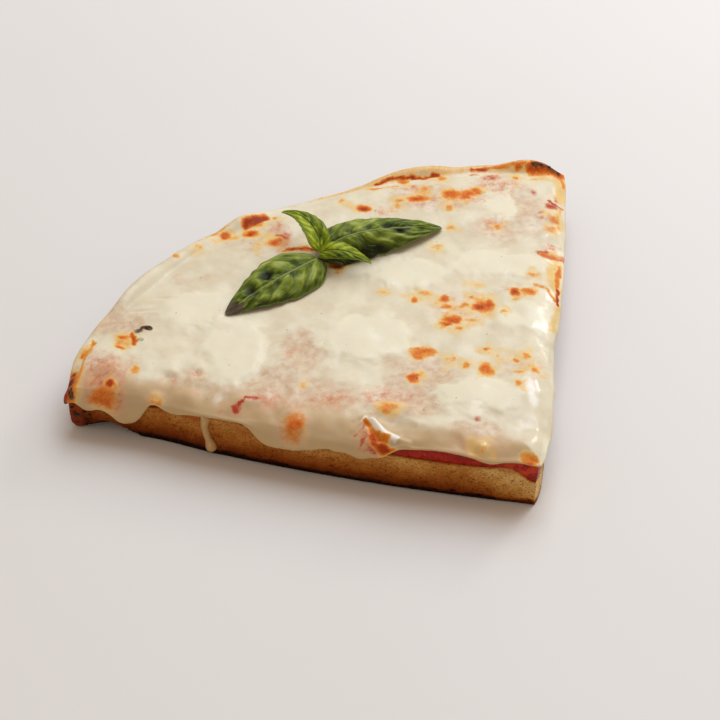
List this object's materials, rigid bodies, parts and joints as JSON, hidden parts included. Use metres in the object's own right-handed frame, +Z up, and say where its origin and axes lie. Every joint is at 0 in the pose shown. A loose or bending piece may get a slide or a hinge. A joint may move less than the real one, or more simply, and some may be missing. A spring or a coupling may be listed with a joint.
{
  "type": "cheese pizza slice",
  "caption": "Wedge of thick pan pizza with dough, tomato sauce and melted cheese in layers, drips over the cuts and a basil sprig on top.",
  "frame": {"origin": "centre of the bounding box at the underside, where the slice rests", "axes": "+Z up, +Y from the slice's tip to its crust along the bisector, +X to the right when seen from the tip"},
  "size_m": [0.2487, 0.1875, 0.0397],
  "materials": {
    "crumb": "baked open crumb, browned at the heel",
    "tomato_sauce": "wet pulpy sauce",
    "melted_cheese": "smooth and slightly oily, with toasted spots",
    "basil_green": "veined leaf with a soft sheen"
  },
  "bodies": {
    "root": {"dough": "crumb", "sauce": "tomato_sauce", "cheese": "melted_cheese", "basil_leaf_left": "basil_green", "basil_leaf_right": "basil_green", "basil_leaf_back": "basil_green", "basil_leaf_front": "basil_green", "basil_stem": "basil_green"}
  },
  "joints": []
}
